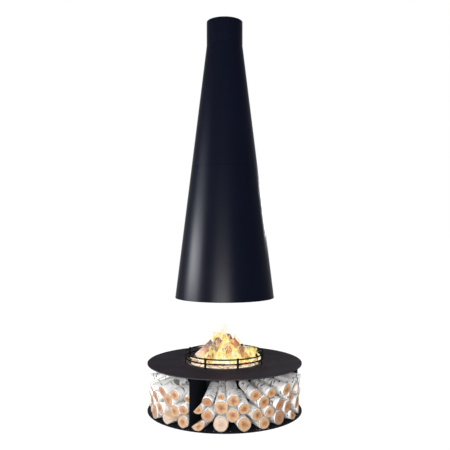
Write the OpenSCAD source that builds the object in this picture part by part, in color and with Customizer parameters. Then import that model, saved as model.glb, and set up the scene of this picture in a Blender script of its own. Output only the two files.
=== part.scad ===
// Central open fireplace: a tall steel cone hood that hangs from the ceiling over a
// round hearth with a fire bowl, a guard ring and a log store in three bays.
// Millimetres, +Z up, origin on the floor on the common axis. The front is -Y, and
// azimuths are degrees from the front, growing towards +X.

/* [Hearth plates] */
// Diameter of the hearth plate and of the base plate
hearth_d = 1500; // [1400:10:1800]
// Height of the hearth plate's upper face above the floor
hearth_h = 464; // [420:1:560]
// Thickness of the hearth plate
hearth_t = 10; // [8:1:16]
// Thickness of the base plate on the floor
base_t = 6; // [5:1:12]
// Broken edge on the rim of both plates
plate_chamfer = 1.5; // [0.5:0.5:2]

/* [Log store] */
// Azimuth of the first of the three radial partitions
first_partition = -25; // [-60:1:60]
// Sheet thickness of a partition
partition_t = 4; // [3:0.5:5]
// Distance from the rim of the plates to a partition's outer edge
partition_setback = 25; // [15:1:60]
// Width of the flange folded at a partition's top and bottom
partition_flange = 30; // [26:1:40]
// Inside radius of a partition's two bends
partition_bend = 3; // [2:0.5:5]
// Air gap between the fire bowl and the drum round it
drum_air_gap = 34; // [30:1:60]
// Sheet thickness of the centre drum
drum_t = 3; // [2:0.5:4]
// Width of the drum's inward flanges
drum_flange = 22; // [20:1:26]
// Number of screws in each flange of the drum
drum_screw_count = 6; // [4:1:8]

/* [Screws] */
// Thread diameter of the hearth's screws
screw_d = 8; // [5:1:8]
// Head diameter over thread diameter
screw_head_ratio = 1.7; // [1.5:0.05:1.8]
// Head height of the hearth's screws
screw_head_h = 4; // [3:0.5:5]

/* [Fire bowl and grate] */
// Outer diameter of the fire bowl's wall
bowl_d = 716; // [640:2:730]
// Depth of the fire bowl below the hearth plate's upper face
bowl_depth = 118; // [100:1:150]
// Sheet thickness of the fire bowl
bowl_t = 3; // [2:0.5:4]
// Width of the bowl's lip on the hearth plate
bowl_lip = 16; // [10:1:24]
// Radius between the bowl's wall and its floor
bowl_corner = 40; // [20:1:50]
// Height of the grate's legs
grate_leg_h = 42; // [30:1:55]
// Width and height of the grate's bars
grate_bar = 10; // [8:1:14]
// Distance between the middles of two grate bars
grate_pitch = 34; // [28:1:50]
// Height of the ember bed above the hearth plate
ember_rise = 12; // [4:1:30]

/* [Guard ring] */
// Gap between the bowl's lip and the guard ring's rails
guard_gap = 11; // [8:1:30]
// Height of the guard posts above the hearth plate
guard_h = 100; // [70:1:140]
// Number of guard posts
guard_posts_count = 8; // [6:1:12]
// Azimuth of the first guard post
guard_first_post = 18; // [0:1:44]
// Width of a guard post
guard_post_w = 20; // [14:1:30]
// Thickness of a guard post
guard_post_t = 6; // [4:1:8]
// Height of a rail's section
guard_rail_h = 12; // [8:1:16]
// Thickness of a rail's section
guard_rail_t = 5; // [4:1:8]
// Middle of the upper rail, as a height above the hearth plate
guard_upper_z = 88; // [60:1:92]
// Middle of the lower rail, as a height above the hearth plate
guard_lower_z = 45; // [25:1:50]

/* [Hood] */
// Free gap between the hearth plate and the hood's rim
hood_gap = 623; // [500:1:800]
// Outer diameter of the hood's rim
rim_d = 964; // [800:2:1200]
// Outer diameter of the hood at the seam between its two cones
seam_d = 648; // [560:2:760]
// Outer diameter of the throat and of the collar above it
throat_d = 351; // [330:1:400]
// Height of the lower cone
lower_cone_h = 1261; // [900:1:1500]
// Height of the upper cone
upper_cone_h = 1195; // [900:1:1500]
// Height of the straight collar under the ceiling
collar_h = 231; // [180:1:400]
// Sheet thickness of the cones and of the collar
sheet_t = 3; // [2:0.5:4]
// Width of the inward flanges that join the two cones
seam_flange = 30; // [24:1:40]
// Number of bolts in the seam
seam_bolt_count = 8; // [6:1:16]
// Thread diameter of the seam bolts
seam_bolt_d = 6; // [5:1:8]
// Height of the stiffening bar inside the rim
rim_bar_h = 25; // [15:1:40]
// Thickness of the stiffening bar inside the rim
rim_bar_t = 5; // [3:1:8]

/* [Flue and damper] */
// Inner diameter of the flue socket that takes the chimney pipe
flue_d = 200; // [180:1:210]
// Wall of the flue socket
flue_t = 2; // [1.5:0.5:3]
// Width of the flange under the flue socket
flue_flange = 14; // [10:1:18]
// How much narrower the damper housing is than the flue socket, in diameter
housing_step = 4; // [4:1:12]
// Wall of the damper housing
housing_t = 3; // [2:0.5:4]
// Height of the damper housing below the throat
housing_h = 240; // [225:1:300]
// Gap between the damper plate's rim and the housing
damper_gap = 4; // [3:0.5:8]
// Thickness of the damper plate
damper_t = 3; // [2:0.5:5]
// Diameter of the damper's spindle
spindle_d = 10; // [8:1:12]
// Wall of the spindle's bushes
bush_wall = 4; // [3:0.5:6]
// Length of a bush
bush_len = 16; // [14:1:24]
// Distance from the spindle to the pin of its crank
crank_len = 50; // [35:1:55]
// Thickness of the crank
crank_t = 6; // [5:1:8]
// Diameter of the crank pin
crank_pin_d = 8; // [6:1:8]
// Gap between the damper housing and the crank
crank_gap = 39; // [20:1:42]
// Diameter of the pull rod
rod_d = 8; // [6:1:10]
// Height of the pull rod's hand ring above the hood's rim
hand_ring_rise = 40; // [20:1:200]
// Diameter of the hand ring at the middle of its bar
hand_ring_d = 56; // [40:1:80]

/* [Hanging] */
// Thickness of the ceiling plate
ceiling_t = 8; // [6:1:12]
// Distance from the collar's inner wall in to the circle of the hanger rods
hanger_inset = 36.5; // [25:0.5:40]
// Number of hanger rods, and of ceiling bolts between them
hanger_count = 4; // [3:1:6]
// Distance from the collar's inner wall in to the circle of the ceiling bolts
ceiling_bolt_inset = 22.5; // [20:0.5:24]
// Thread diameter of the hanger rods
hanger_d = 10; // [8:1:12]
// Diameter of the holes for the ceiling bolts
ceiling_hole_d = 11; // [9:1:13]

/* [Firewood] */
// Length of a stored log
log_len = 274; // [220:1:275]
// Gap between the drum and the middle of the logs' inner ends
log_back_gap = 60; // [50:1:62]
// How far a log may be longer or shorter than the common length
log_stagger = 10; // [0:1:10]
// How much thicker a stored log is at its outer end than at its inner end
log_taper = 1.06; // [1:0.01:1.1]
// Spread of the logs' outer ends; at 1 every log points at the axis
log_spread = 1.02; // [0.9:0.01:1.02]
// Widest turn of a log away from its even place in the spread
log_yaw = 1; // [0:0.1:1.2]

/* [Hidden] */

$fn = 96;
steel_paint = "#20262f";
plate_steel = "#36302f";
bare_steel = "#8a8d90";
log_bark = "#e6e1d8";
charred = "#4a342b";

// Clearances
seat_gap = 0.3;      // between curved faces that rest on each other
running_gap = 0.05;  // radial, a spindle in its bush
hole_gap = 0.5;      // radial, a screw through a clearance hole
bowl_gap = 4;        // radial, the bowl's wall in the hearth plate
log_gap = 0.5;       // between two stored logs that touch

// Hearth
hearth_r = hearth_d / 2;
store_h = hearth_h - hearth_t - base_t;
plate_under = hearth_h - hearth_t;
bowl_r = bowl_d / 2;
bowl_in_r = bowl_r - bowl_t;
bowl_flat_r = bowl_r - bowl_corner;
bowl_floor_z = hearth_h - bowl_depth;
lip_r = bowl_r + bowl_lip;
drum_in_r = bowl_r + drum_air_gap;
drum_r = drum_in_r + drum_t;
partition_r = hearth_r - partition_setback;
partition_az = [for (i = [0:2]) first_partition + 120 * i];
screw_r = screw_d / 2;
screw_head_r = screw_r * screw_head_ratio;
screw_across = partition_t / 2 + partition_flange / 2;
screw_in = drum_r + 60;
screw_out = partition_r - 50;
drum_screw_r = drum_in_r - drum_flange / 2 - 1;

// Grate and fire
grate_top = bowl_floor_z + bowl_t + grate_leg_h + grate_bar;
grate_r = bowl_in_r - 17;
grate_leg_r = bowl_flat_r - 15;
ember_top = hearth_h + ember_rise;
ember_r = bowl_in_r - 18;

// Guard ring
rail_in_r = lip_r + guard_gap;
rail_out_r = rail_in_r + guard_rail_t;

// Hood
rim_z = hearth_h + hood_gap;
seam_z = rim_z + lower_cone_h;
throat_z = seam_z + upper_cone_h;
ceiling_z = throat_z + collar_h;
rim_r = rim_d / 2;
seam_r = seam_d / 2;
throat_r = throat_d / 2;
bend_cut = 2;
seam_bolt_r = seam_bolt_d / 2;
seam_circle_r = seam_r - sheet_t - seam_flange / 2;

// Flue, damper and its pull rod
flue_r = flue_d / 2;
flue_out_r = flue_r + flue_t;
collar_flange_r = flue_out_r + flue_flange + 2;
housing_in_r = flue_r - housing_step / 2;
housing_out_r = housing_in_r + housing_t;
housing_top = throat_z - sheet_t;
housing_screw_circle = housing_out_r + flue_flange / 2;
housing_screw_r = 2.5;
spindle_r = spindle_d / 2;
spindle_z = housing_top - housing_h / 2;
damper_r = housing_in_r - damper_gap;
bush_r = spindle_r + bush_wall;
bush_in = housing_in_r - 2;
crank_x = housing_out_r + crank_gap;
crank_pin_r = crank_pin_d / 2;
crank_eye_r = crank_pin_r + 5;
rod_r = rod_d / 2;
pin_len = rod_d + 6;
rod_x = crank_x + crank_t + 1 + rod_r;
pin_y = crank_len * cos(45);
pin_z = spindle_z - crank_len * sin(45);
hand_ring_r = hand_ring_d / 2;
hand_ring_z = rim_z + hand_ring_rise + hand_ring_r + rod_r;

// Hanging
collar_in_r = throat_r - sheet_t;
hanger_circle_r = collar_in_r - hanger_inset;
ceiling_bolt_circle = collar_in_r - ceiling_bolt_inset;
hanger_r = hanger_d / 2;
hanger_hole_r = hanger_r + hole_gap;
nut_h = 0.8 * hanger_d;
nut_r = 0.95 * hanger_d;
ceiling_plate_r = collar_in_r - 1;

// Fire wood standing and leaning on the embers, each one as azimuth of the foot,
// radius of the foot, azimuth, radius and height of the head, diameter, and the
// direction of a split face, or none
fire_wood = [
    [-84, 272, -94, 88, 168, 92, 25],
    [-34, 268, -35, 84, 196, 72, undef],
    [14, 270, 12, 84, 152, 66, 330],
    [60, 262, 59, 84, 178, 68, undef],
    [108, 272, 107, 86, 150, 74, 20],
    [160, 268, 158, 84, 190, 70, undef],
    [214, 262, 208, 86, 172, 72, 350]
];
upright_d = 64;
upright_h = 266 - ember_rise;
kindling_sticks = [[-60, 300], [-10, 308], [38, 304], [84, 308], [136, 300], [188, 306], [240, 302]];
kindling_d = 26;
kindling_len = 130;

// Stored logs: the diameters of each row in a store 448 mm high, from the floor up and
// from the low azimuth to the high. The stack follows the store's height. A pair is a
// split log: its diameter and the direction of its flat face. A 0 is an empty place.
rows_store_h = 448;
front_rows = [
    [[112, 30], 124, 116, 98, 120, [114, 325], 112, 104],
    [104, 112, 100, 98, 106, 116, 102],
    [[98, 45], 116, 102, 108, 100, [112, 315], 118, 86],
    [92, 104, 98, 88, 108, 112, 98],
    [0, 58, 0, 0, 0, 0, 0, 54]
];
left_rows = [
    [108, 116, 102, 114, 110, 120, [112, 330], 102],
    [[108, 40], 104, 108, 100, 110, 102, 106],
    [92, 112, 104, 108, 98, 106, 112, 88],
    [102, 106, [96, 0], 100, 92, 104, 94],
    [0, 46, 0, 0, 46, 0, 0, 60]
];
rear_rows = [
    [112, 106, 114, 120, 104, 116, 110, 102],
    [106, 112, [108, 330], 100, 114, 98, 108],
    [[88, 40], 108, 114, 98, 112, 104, 108, 92],
    [106, 98, 104, [108, 0], 96, 106, 100],
    [0, 48, 0, 0, 0, 50, 0, 64]
];

// ---- Shared geometry ----

// Draws its children with +X turned to an azimuth
module toward(azimuth) rotate([0, 0, azimuth - 90]) children();

// Repeats its children at equal steps round the axis
module around(count, first = 0) for (i = [0:count - 1]) toward(first + 360 * i / count) children();

// Points along an arc
function arc(centre, r, from, to, steps = 12) =
    [for (i = [0:steps]) let (a = from + (to - from) * i / steps) centre + r * [cos(a), sin(a)]];

// Radius of the hood's outer face at a height
function hood_r(z) = z < seam_z
    ? rim_r + (seam_r - rim_r) * (z - rim_z) / lower_cone_h
    : seam_r + (throat_r - seam_r) * (z - seam_z) / upper_cone_h;

// Flat disc with both edges of its rim broken
module plate(r, t) rotate_extrude($fn = 180)
    polygon([
        [0, 0], [r - plate_chamfer, 0], [r, plate_chamfer],
        [r, t - plate_chamfer], [r - plate_chamfer, t], [0, t]
    ]);

// Screw with its head's underside at z = 0 and its shank along +Z
module screw(r, head_r, head_h, length) {
    translate([0, 0, -head_h]) cylinder(r = head_r, h = head_h);
    translate([0, 0, -0.01]) cylinder(r = r, h = length + 0.01);
}

// Puts its children at every screw of one level of the log store
module store_screw_places() {
    for (azimuth = partition_az, out = [screw_in, screw_out])
        toward(azimuth) translate([out, screw_across, 0]) children();
    around(drum_screw_count, first_partition + 20) translate([drum_screw_r, 0, 0]) children();
}

// ---- Hearth ----

module base_plate() color(steel_paint) difference() {
    plate(hearth_r, base_t);
    store_screw_places() translate([0, 0, 1]) cylinder(r = screw_r + running_gap, h = base_t);
}

module hearth_plate() color(plate_steel) translate([0, 0, plate_under]) difference() {
    plate(hearth_r, hearth_t);
    translate([0, 0, -1]) cylinder(r = bowl_r + bowl_gap, h = hearth_t + 2, $fn = 180);
    store_screw_places() translate([0, 0, -1])
        cylinder(r = screw_r + running_gap, h = hearth_t - 1);
}

// Section of a sheet folded into a channel that opens towards +X
module channel_section(width, height, t, bend) difference() {
    union() {
        translate([bend + t, 0]) square([width - bend - t, height]);
        translate([0, bend + t]) square([width, height - 2 * (bend + t)]);
        for (y = [bend + t, height - bend - t]) translate([bend + t, y]) circle(r = bend + t);
    }
    translate([bend + t, t]) square([width, height - 2 * t]);
    translate([t, bend + t]) square([width, height - 2 * (bend + t)]);
    for (y = [bend + t, height - bend - t]) translate([bend + t, y]) circle(r = bend);
}

module partition(azimuth) color(steel_paint) toward(azimuth) difference() {
    translate([drum_r + seat_gap, -partition_t / 2, base_t]) rotate([90, 0, 90])
        linear_extrude(partition_r - drum_r - seat_gap)
            channel_section(partition_t + partition_flange, store_h, partition_t, partition_bend);
    for (out = [screw_in, screw_out]) translate([out, screw_across, 0])
        cylinder(r = screw_r + hole_gap, h = hearth_h);
}

// Rolled sheet drum with a flange turned in at both ends
module centre_drum() color(steel_paint) difference() {
    translate([0, 0, base_t]) rotate_extrude($fn = 180) polygon([
        [drum_r, 0], [drum_r, store_h], [drum_in_r - drum_flange, store_h],
        [drum_in_r - drum_flange, store_h - drum_t], [drum_in_r, store_h - drum_t],
        [drum_in_r, drum_t], [drum_in_r - drum_flange, drum_t], [drum_in_r - drum_flange, 0]
    ]);
    around(drum_screw_count, first_partition + 20) translate([drum_screw_r, 0, 0])
        cylinder(r = screw_r + hole_gap, h = hearth_h);
}

// Screws through the partitions' and the drum's flanges, as deep in a plate as thread says
module store_screws(thread) {
    for (azimuth = partition_az, out = [screw_in, screw_out]) toward(azimuth)
        translate([out, screw_across, -partition_t])
            screw(screw_r, screw_head_r, screw_head_h, partition_t + thread);
    around(drum_screw_count, first_partition + 20) translate([drum_screw_r, 0, -drum_t])
        screw(screw_r, screw_head_r, screw_head_h, drum_t + thread);
}

module plate_screws() color(bare_steel) translate([0, 0, plate_under]) store_screws(hearth_t - 3);

// The base's screws are the plate's turned over; mirroring keeps their azimuths
module base_screws() color(bare_steel) translate([0, 0, base_t]) mirror([0, 0, 1])
    store_screws(base_t - 1.5);

// ---- Fire ----

// Spun ring with a lip above and a rounded corner below, to which the floor is welded
module fire_bowl() color(steel_paint) rotate_extrude($fn = 180) polygon(concat(
    [[lip_r, hearth_h], [lip_r, hearth_h + bowl_t], [bowl_in_r, hearth_h + bowl_t]],
    arc([bowl_flat_r, bowl_floor_z + bowl_corner], bowl_corner - bowl_t, 0, -90),
    arc([bowl_flat_r, bowl_floor_z + bowl_corner], bowl_corner, -90, 0),
    [[bowl_r, hearth_h]]
));

module bowl_floor() color(steel_paint) translate([0, 0, bowl_floor_z])
    cylinder(r = bowl_flat_r - seat_gap, h = bowl_t);

// Ring with cross bars and a lug over each leg
module fire_grate() color(bare_steel) {
    bars = floor((grate_r - grate_bar) / grate_pitch);
    translate([0, 0, grate_top - grate_bar]) {
        difference() {
            cylinder(r = grate_r, h = grate_bar);
            translate([0, 0, -1]) cylinder(r = grate_r - grate_bar, h = grate_bar + 2);
        }
        intersection() {
            cylinder(r = grate_r - grate_bar / 2, h = grate_bar);
            union() {
                for (i = [-bars:bars]) translate([i * grate_pitch - grate_bar / 2, -grate_r, 0])
                    cube([grate_bar, 2 * grate_r, grate_bar]);
                translate([-grate_r, -grate_bar / 2, 0]) cube([2 * grate_r, grate_bar, grate_bar]);
            }
        }
    }
    for (corner = [45:90:315]) rotate([0, 0, corner])
        translate([grate_leg_r - 30, -grate_bar / 2, grate_top - grate_bar])
            cube([grate_r - grate_leg_r + 30 - grate_bar / 2, grate_bar, grate_bar]);
}

// Four round legs between the bowl's floor and the grate's lugs
module grate_legs() color(bare_steel) for (corner = [45:90:315]) rotate([0, 0, corner])
    translate([grate_leg_r, 0, bowl_floor_z + bowl_t]) cylinder(d = 1.4 * grate_bar, h = grate_leg_h);

// Ash and embers heaped on the grate
module ember_bed() color("#e8963c") rotate_extrude($fn = 120) polygon([
    [0, grate_top], [ember_r - 22, grate_top], [ember_r - 4, grate_top + 14],
    [ember_r, ember_top - 26], [ember_r - 8, ember_top - 8], [ember_r - 26, ember_top], [0, ember_top]
]);

function polar(azimuth, r, z) = [r * sin(azimuth), -r * cos(azimuth), z];

// Log along +Z with its foot at z = 0, split in two where a face is given. Once the
// log lies, a face of 0 looks up and one of 90 towards the low azimuths.
module round_or_split(foot_r, head_r, length, face) difference() {
    cylinder(r1 = foot_r, r2 = head_r, h = length);
    if (!is_undef(face)) rotate([0, 0, face + 180])
        translate([0.12 * foot_r, -2 * foot_r, -1]) cube([2 * foot_r, 4 * foot_r, length + 2]);
}

// Turns its children's +Z from one point towards another
module from_to(from, to) {
    way = to - from;
    flat_run = norm([way[0], way[1]]);
    translate(from) rotate([0, 0, atan2(way[1], way[0])]) rotate([0, 90 - atan2(way[2], flat_run), 0])
        children();
}

// Log from a foot on the embers to a head in the air; its lowest edge meets the bed
module leaning_log(wood) {
    r = wood[5] / 2;
    head = polar(wood[2], wood[3], wood[4]);
    flat_run = norm(head - polar(wood[0], wood[1], wood[4]));
    lift = [0, 0, ember_top + seat_gap + r * cos(atan2(wood[4], flat_run))];
    foot = polar(wood[0], wood[1], 0);
    from_to(foot + lift, head + lift) round_or_split(r, r, norm(head - foot), wood[6]);
}

module fire_logs() color(charred) {
    for (wood = fire_wood) leaning_log(wood);
    translate([4, 0, ember_top + seat_gap]) round_or_split(upright_d / 2, upright_d / 2, upright_h, undef);
}

// Sticks laid flat on the embers round the standing wood
module kindling() color(charred) for (stick = kindling_sticks)
    toward(stick[0]) translate([stick[1], 0, ember_top + seat_gap + kindling_d / 2])
        rotate([90, 0, 0]) cylinder(d = kindling_d, h = kindling_len, center = true, $fn = 24);

// ---- Guard ring ----

module guard_rail(z) color(steel_paint) translate([0, 0, hearth_h + z - guard_rail_h / 2])
    rotate_extrude($fn = 180) translate([rail_in_r, 0]) square([guard_rail_t, guard_rail_h]);

module guard_posts() color(steel_paint) around(guard_posts_count, guard_first_post)
    translate([rail_out_r, -guard_post_w / 2, hearth_h]) cube([guard_post_t, guard_post_w, guard_h]);

// ---- Hood ----

module hood_lower_cone() color(steel_paint) difference() {
    rotate_extrude($fn = 180) polygon([
        [rim_r, rim_z], [hood_r(seam_z - bend_cut), seam_z - bend_cut],
        [seam_r - bend_cut, seam_z], [seam_r - sheet_t - seam_flange, seam_z],
        [seam_r - sheet_t - seam_flange, seam_z - sheet_t], [seam_r - sheet_t, seam_z - sheet_t],
        [rim_r - sheet_t, rim_z]
    ]);
    seam_holes();
}

module hood_upper_cone() color(steel_paint) difference() {
    rotate_extrude($fn = 180) polygon([
        [seam_r - sheet_t - seam_flange, seam_z], [seam_r - bend_cut, seam_z],
        [hood_r(seam_z + bend_cut), seam_z + bend_cut],
        [hood_r(throat_z - bend_cut), throat_z - bend_cut], [throat_r - bend_cut, throat_z],
        [housing_in_r, throat_z], [housing_in_r, throat_z - sheet_t],
        [throat_r - sheet_t, throat_z - sheet_t], [seam_r - sheet_t, seam_z + sheet_t],
        [seam_r - sheet_t - seam_flange, seam_z + sheet_t]
    ]);
    seam_holes();
    hanger_places() translate([0, 0, throat_z - 2 * sheet_t]) cylinder(r = hanger_hole_r, h = 3 * sheet_t);
    around(hanger_count) translate([housing_screw_circle, 0, throat_z - 2 * sheet_t])
        cylinder(r = housing_screw_r + running_gap, h = 3 * sheet_t);
}

module seam_holes() around(seam_bolt_count) translate([seam_circle_r, 0, seam_z - 2 * sheet_t])
    cylinder(r = seam_bolt_r + hole_gap, h = 4 * sheet_t);

module seam_bolts() color(bare_steel) around(seam_bolt_count)
    translate([seam_circle_r, 0, seam_z - sheet_t]) {
        translate([0, 0, -0.7 * seam_bolt_d])
            cylinder(r = 0.95 * seam_bolt_d, h = 0.7 * seam_bolt_d, $fn = 6);
        translate([0, 0, -0.1]) cylinder(r = seam_bolt_r, h = 2 * sheet_t + 1.3 * seam_bolt_d);
    }

module seam_nuts() color(bare_steel) around(seam_bolt_count)
    translate([seam_circle_r, 0, seam_z + sheet_t]) difference() {
        cylinder(r = 0.95 * seam_bolt_d, h = 0.8 * seam_bolt_d, $fn = 6);
        translate([0, 0, -1]) cylinder(r = seam_bolt_r + running_gap, h = seam_bolt_d + 2);
    }

// Flat bar rolled to the cone and welded inside its rim
module hood_rim_bar() color(steel_paint) rotate_extrude($fn = 180) polygon([
    [rim_r - sheet_t - seat_gap, rim_z],
    [hood_r(rim_z + rim_bar_h) - sheet_t - seat_gap, rim_z + rim_bar_h],
    [hood_r(rim_z + rim_bar_h) - sheet_t - seat_gap - rim_bar_t, rim_z + rim_bar_h],
    [rim_r - sheet_t - seat_gap - rim_bar_t, rim_z]
]);

// Straight collar with a flange turned in at its foot
module collar() color(steel_paint) difference() {
    rotate_extrude($fn = 180) polygon([
        [throat_r - bend_cut, throat_z], [throat_r, throat_z + bend_cut], [throat_r, ceiling_z],
        [collar_in_r, ceiling_z], [collar_in_r, throat_z + sheet_t],
        [collar_flange_r, throat_z + sheet_t], [collar_flange_r, throat_z]
    ]);
    hanger_places() translate([0, 0, throat_z - sheet_t]) cylinder(r = hanger_hole_r, h = 3 * sheet_t);
}

// ---- Hanging ----

module hanger_places() around(hanger_count, 180 / hanger_count) translate([hanger_circle_r, 0, 0])
    children();

module ceiling_plate() color(steel_paint) translate([0, 0, ceiling_z - ceiling_t]) difference() {
    cylinder(r = ceiling_plate_r, h = ceiling_t);
    translate([0, 0, -1]) cylinder(r = flue_out_r + hole_gap, h = ceiling_t + 2);
    around(hanger_count) translate([ceiling_bolt_circle, 0, -1])
        cylinder(d = ceiling_hole_d, h = ceiling_t + 2);
    hanger_places() translate([0, 0, -1]) cylinder(r = hanger_r + running_gap, h = ceiling_t - 1);
}

// Threaded rods from the ceiling plate down through the two flanges at the throat
module hanger_rods() color(bare_steel) hanger_places()
    translate([0, 0, throat_z - sheet_t - 2 * nut_h])
        cylinder(r = hanger_r, h = collar_h + sheet_t + 2 * nut_h - 2.5);

module hanger_nuts() color(bare_steel) hanger_places()
    for (z = [throat_z - sheet_t - nut_h, throat_z + sheet_t, ceiling_z - ceiling_t - nut_h])
        translate([0, 0, z]) difference() {
            cylinder(r = nut_r, h = nut_h, $fn = 6);
            translate([0, 0, -1]) cylinder(r = hanger_r + running_gap, h = nut_h + 2);
        }

// ---- Flue and damper ----

module flue_socket() color(bare_steel) difference() {
    union() {
        translate([0, 0, throat_z]) cylinder(r = flue_out_r, h = collar_h);
        translate([0, 0, throat_z]) cylinder(r = flue_out_r + flue_flange, h = sheet_t);
    }
    translate([0, 0, throat_z - 1]) cylinder(r = flue_r, h = collar_h + 2);
    around(hanger_count) translate([housing_screw_circle, 0, throat_z - 1])
        cylinder(r = housing_screw_r + running_gap, h = sheet_t + 2);
}

module damper_housing() color(bare_steel) difference() {
    union() {
        translate([0, 0, housing_top - housing_h]) cylinder(r = housing_out_r, h = housing_h);
        translate([0, 0, housing_top - sheet_t]) cylinder(r = housing_out_r + flue_flange, h = sheet_t);
    }
    translate([0, 0, housing_top - housing_h - 1]) cylinder(r = housing_in_r, h = housing_h + 2);
    translate([0, 0, spindle_z]) rotate([0, 90, 0])
        cylinder(r = bush_r + running_gap, h = 3 * housing_out_r, center = true);
    around(hanger_count) translate([housing_screw_circle, 0, housing_top - sheet_t - 1])
        cylinder(r = housing_screw_r + running_gap, h = sheet_t + 2);
}

module housing_screws() color(bare_steel) around(hanger_count)
    translate([housing_screw_circle, 0, housing_top - sheet_t])
        screw(housing_screw_r, 2 * housing_screw_r, housing_screw_r, 3 * sheet_t);

module along_spindle() translate([0, 0, spindle_z]) rotate([0, 90, 0]) children();

// Bush through the housing's wall, with a collar outside
module spindle_bushes() color("#b08d4a") for (side = [0, 180]) rotate([0, 0, side]) along_spindle()
    difference() {
        union() {
            translate([0, 0, bush_in]) cylinder(r = bush_r, h = bush_len);
            translate([0, 0, housing_out_r + seat_gap]) cylinder(r = bush_r + 4, h = 3);
        }
        cylinder(r = spindle_r + running_gap, h = 3 * housing_out_r);
    }

module damper_spindle() color(bare_steel) translate([-bush_in - bush_len - 2, 0, 0]) along_spindle()
    cylinder(r = spindle_r, h = bush_in + bush_len + 2 + crank_x + crank_t);

// Round plate against the spindle's flank: upright is open, level is closed
module damper_plate() color(bare_steel) translate([0, spindle_r, spindle_z]) rotate([-90, 0, 0])
    cylinder(r = damper_r, h = damper_t);

// Arm clamped on the spindle's end, with the pin that carries the pull rod
module damper_crank() color(bare_steel) {
    translate([crank_x, 0, 0]) along_spindle() linear_extrude(crank_t) difference() {
        union() {
            circle(r = spindle_r + 5);
            rotate(45) translate([0, -crank_eye_r + 1]) square([crank_len, 2 * crank_eye_r - 2]);
            rotate(45) translate([crank_len, 0]) circle(r = crank_eye_r);
        }
        circle(r = spindle_r + running_gap);
    }
    translate([crank_x + crank_t - 1, pin_y, pin_z]) rotate([0, 90, 0])
        cylinder(r = crank_pin_r, h = pin_len + 1);
}

// Spring clip on the pin, outside the rod's eye
module crank_clip() color(bare_steel) translate([rod_x + rod_r + 1, pin_y, pin_z]) rotate([0, 90, 0])
    difference() {
        cylinder(r = crank_pin_r + 4, h = 2);
        translate([0, 0, -1]) cylinder(r = crank_pin_r + running_gap, h = 4);
    }

// Rod that hangs from the crank pin inside the hood, with an eye above and a hand ring below
module pull_rod() color(bare_steel) translate([rod_x, pin_y, 0]) {
    translate([-rod_r, 0, pin_z]) rotate([0, 90, 0]) difference() {
        cylinder(r = crank_pin_r + 6, h = rod_d);
        translate([0, 0, -1]) cylinder(r = crank_pin_r + 2 * running_gap, h = rod_d + 2);
    }
    rod_foot = hand_ring_z + hand_ring_r;
    translate([0, 0, rod_foot]) cylinder(r = rod_r, h = pin_z - crank_pin_r - 3 - rod_foot, $fn = 32);
    translate([0, 0, hand_ring_z]) rotate([0, 90, 0])
        rotate_extrude() translate([hand_ring_r, 0]) circle(r = rod_r, $fn = 32);
}

// ---- Firewood in the bays ----
// A bay's stack is packed log by log, each one laid on the logs that are already there.
// A log is held as [foot, head, r, face, s]: the middles of its inner and outer ends, its
// radius at the inner end, its split face, and its place s along the arc of the inner
// ends. The middle of the bay is at s = 0 and azimuth 0.

pack_r = drum_r + log_back_gap;
reach_r = pack_r + log_len;
arc_half = pack_r * 60 * PI / 180 - partition_t / 2;
log_ceiling = plate_under - partition_t - screw_head_h - 1;
even_shares = [for (i = [0:8]) i / 8];

function diameter(entry) = (is_list(entry) ? entry[0] : entry) * store_h / rows_store_h;
function split_face(entry) = is_list(entry) ? entry[1] : undef;
function total(list, count) = count <= 0 ? 0 : list[count - 1] + total(list, count - 1);

// Middle and radius of a log at a share of its length
function middle_at(log, share) = log[0] + (log[1] - log[0]) * share;
function radius_at(r, share) = r * (1 + (log_taper - 1) * share);

// Height at which a point aside of a sloping axis is as far from it as reach says
function over_axis(aside, way, reach) =
    let (
        u = way / norm(way),
        along = aside[0] * u[0] + aside[1] * u[1],
        level = 1 - u[2] * u[2],
        left = u[2] * u[2] * along * along - level * (aside * aside - along * along - reach * reach)
    )
    left < 0 ? undef : (u[2] * along + sqrt(left)) / level;

// Rise at the inner ends: there an upper log lies with its side on the edge of a lower one,
// and two logs side by side, which fan out, meet corner to corner, a little closer in
function over_end(aside, way, reach) =
    let (
        near = norm(aside),
        true_reach = reach * (1 - 0.11 * pow(near / pack_r, 2)),
        beside = near < true_reach ? sqrt(true_reach * true_reach - near * near) : undef,
        above = over_axis(aside, way, reach),
        along = aside[0] * way[0] + aside[1] * way[1]
    )
    is_undef(above) || -above * way[2] < along ? beside : above;

// Height of the middle of a log, at a share of its length, that clears those already there
function resting_z(foot, head, r, there, share) =
    let (here = foot + (head - foot) * share)
    max(concat([base_t + seat_gap + radius_at(r, share)], [for (log = there)
        let (
            other = middle_at(log, share),
            aside = [here[0] - other[0], here[1] - other[1]],
            reach = radius_at(r + log[2], share) + log_gap,
            rise = share == 0 ? over_end(aside, head - foot, reach)
                : over_axis(aside, log[1] - log[0], reach)
        )
        if (!is_undef(rise)) other[2] + rise]));

// Lays a log at s on the logs already there: both ends are let down till they rest, and
// the log is raised where its middle would still meet another one
function laid(s, r, face, there, turn) =
    let (
        azimuth = s / pack_r * 180 / PI,
        foot = polar(azimuth, pack_r, 0),
        level = polar(azimuth * log_spread + log_yaw * sin(turn), reach_r, 0),
        drop = resting_z(foot, level, r, there, 0) - resting_z(foot, level, r, there, 1),
        head = level - [0, 0, drop],
        z = [for (share = even_shares) resting_z(foot, head, r, there, share)],
        last = len(z) - 1,
        lift = max([for (i = [0:last]) z[i] - z[0] - (z[last] - z[0]) * even_shares[i]])
    )
    [foot + [0, 0, z[0] + lift], level + [0, 0, z[last] + lift], r, face, s];

// Where the first log of the floor row clears the partition and its folded foot
function foot_clear(r) = let (step = partition_t + log_gap)
    max(r, partition_flange + sqrt(2 * r * step - step * step)) + log_gap - arc_half;

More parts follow.
